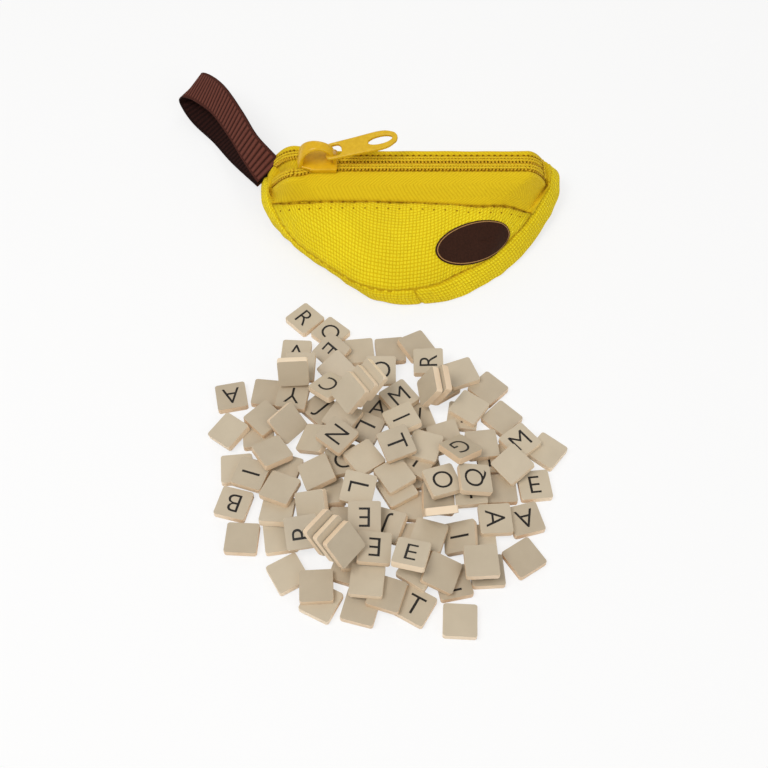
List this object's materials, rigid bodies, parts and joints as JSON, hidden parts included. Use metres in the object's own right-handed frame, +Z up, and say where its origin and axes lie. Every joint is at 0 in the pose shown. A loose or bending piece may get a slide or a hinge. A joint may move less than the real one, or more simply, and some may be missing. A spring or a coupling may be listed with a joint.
{
  "type": "travel word tile game case",
  "caption": "Small half-moon zipped canvas pouch with a webbing hand loop, lying on its back beside a heap of its square letter tiles.",
  "frame": {"origin": "middle of the flat back face on which the pouch lies", "axes": "+X along the zip from the slider towards its closed end, +Y away from the tile heap, +Z up"},
  "size_m": [0.1367, 0.2124, 0.0347],
  "materials": {
    "canvas": "matt plain weave",
    "tape": "matt herringbone weave",
    "coil": "satin nylon",
    "slider_enamel": "glossy enamel",
    "webbing": "ribbed ribbon",
    "label_leather": "satin",
    "tile_ivory": "satin"
  },
  "bodies": {
    "case": {"back_panel": "canvas", "bottom_band_left": "canvas", "bottom_band_right": "canvas", "front_panel": "canvas", "label_patch": "label_leather", "zip_tack": "coil"},
    "front_lip": {"front_tape": "tape", "front_coil": "coil"},
    "back_lip": {"back_tape": "tape", "back_coil": "coil"},
    "slider": {"slider_body": "slider_enamel"},
    "pull_tab": {"pull_tab": "slider_enamel"},
    "strap": {"webbing_loop": "webbing"},
    "tiles_lower": {"tile_group_01": "tile_ivory", "tile_group_02": "tile_ivory", "tile_group_03": "tile_ivory", "tile_group_04": "tile_ivory", "tile_group_05": "tile_ivory", "tile_group_06": "tile_ivory", "tile_group_07": "tile_ivory", "tile_group_08": "tile_ivory", "tile_group_09": "tile_ivory", "tile_group_10": "tile_ivory", "tile_group_11": "tile_ivory", "tile_group_12": "tile_ivory", "tile_group_13": "tile_ivory", "tile_group_14": "tile_ivory", "tile_group_15": "tile_ivory", "tile_group_16": "tile_ivory", "tile_group_17": "tile_ivory", "tile_group_18": "tile_ivory", "tile_group_19": "tile_ivory", "tile_group_20": "tile_ivory", "tile_group_21": "tile_ivory"},
    "tiles_upper": {"tile_C": "tile_ivory", "tile_E": "tile_ivory", "tile_E2": "tile_ivory", "tile_E3": "tile_ivory", "tile_G": "tile_ivory", "tile_I": "tile_ivory", "tile_L": "tile_ivory", "tile_M": "tile_ivory", "tile_N": "tile_ivory", "tile_O": "tile_ivory", "tile_O2": "tile_ivory", "tile_Q": "tile_ivory", "tile_R": "tile_ivory", "tile_R2": "tile_ivory", "tile_T": "tile_ivory", "tile_fan_a1": "tile_ivory", "tile_fan_a2": "tile_ivory", "tile_fan_a3": "tile_ivory", "tile_fan_b1": "tile_ivory", "tile_fan_b2": "tile_ivory", "tile_fan_b3": "tile_ivory", "tile_fan_c1": "tile_ivory", "tile_fan_c2": "tile_ivory", "tile_fan_d1": "tile_ivory", "tile_fan_e1": "tile_ivory"}
  },
  "joints": [
    {"name": "zip_slide", "type": "slide", "parent": "case", "child": "slider", "axis": [1, 0, 0], "range_m": [0, 0.058], "deforming": ["front_tape", "front_coil", "back_tape", "back_coil"]},
    {"name": "tab_hinge", "type": "hinge", "parent": "slider", "child": "pull_tab", "pos_m": [-0.027, 0.01797, 0.02873], "axis": [0.0872, -0.9744, -0.2071], "range_deg": [0, 95]},
    {"name": "front_lip_hinge", "type": "hinge", "parent": "case", "child": "front_lip", "pos_m": [0, 0.0077, 0.0172], "axis": [1, 0, 0], "range_deg": [0, 18.5], "deforming": ["front_tape", "front_coil"]},
    {"name": "back_lip_hinge", "type": "hinge", "parent": "case", "child": "back_lip", "pos_m": [0, 0.0297, 0.0148], "axis": [1, 0, 0], "range_deg": [-12.5, 0], "deforming": ["back_tape", "back_coil"]},
    {"name": "loop_swing", "type": "hinge", "parent": "case", "child": "strap", "pos_m": [-0.05008, 0.02779, 0.01179], "axis": [0.8486, 0.5291, 0], "range_deg": [0, 55], "deforming": ["webbing_loop"]},
    {"name": "lower_tiles_lift", "type": "slide", "parent": "case", "child": "tiles_lower", "axis": [0, 0, 1], "range_m": [0, 0.06]},
    {"name": "upper_tiles_lift", "type": "slide", "parent": "tiles_lower", "child": "tiles_upper", "axis": [0, 0, 1], "range_m": [0, 0.05]}
  ],
  "couplings": [
    {"joint": "front_lip_hinge", "follows": "zip_slide", "rad_per_m": 5.4},
    {"joint": "back_lip_hinge", "follows": "zip_slide", "rad_per_m": -3.6}
  ]
}
